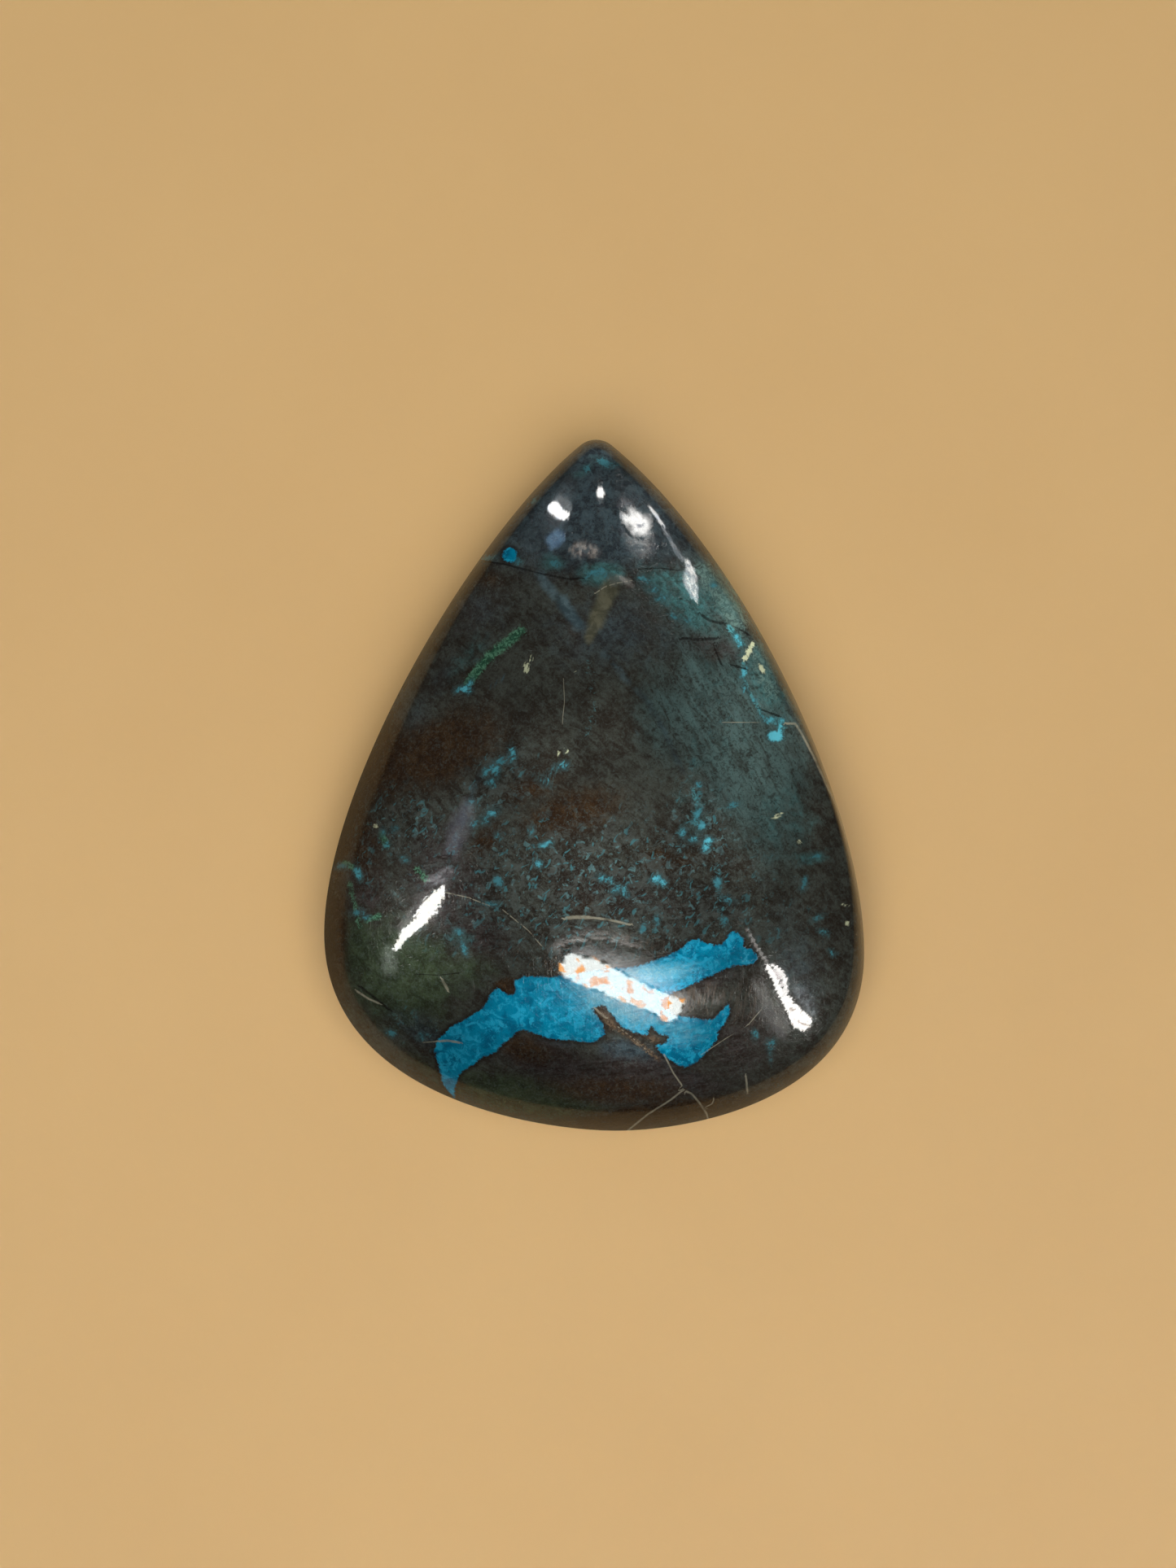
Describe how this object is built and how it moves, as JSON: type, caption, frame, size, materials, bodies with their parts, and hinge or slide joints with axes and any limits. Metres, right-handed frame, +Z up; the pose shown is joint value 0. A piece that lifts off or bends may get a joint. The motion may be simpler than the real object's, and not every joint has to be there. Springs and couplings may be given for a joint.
{
  "type": "azurite specimen",
  "caption": "Polished pear-shaped azurite cabochon with a domed crown, a rounded shoulder and a flat back.",
  "frame": {"origin": "on the flat back, below the middle of the stone's bounding box", "axes": "+Y towards the tip, +Z up out of the crown, +X across the stone"},
  "size_m": [0.0438, 0.056, 0.0125],
  "materials": {
    "azurite_stone": "polished"
  },
  "bodies": {
    "root": {"azurite_stone": "azurite_stone"}
  },
  "joints": []
}
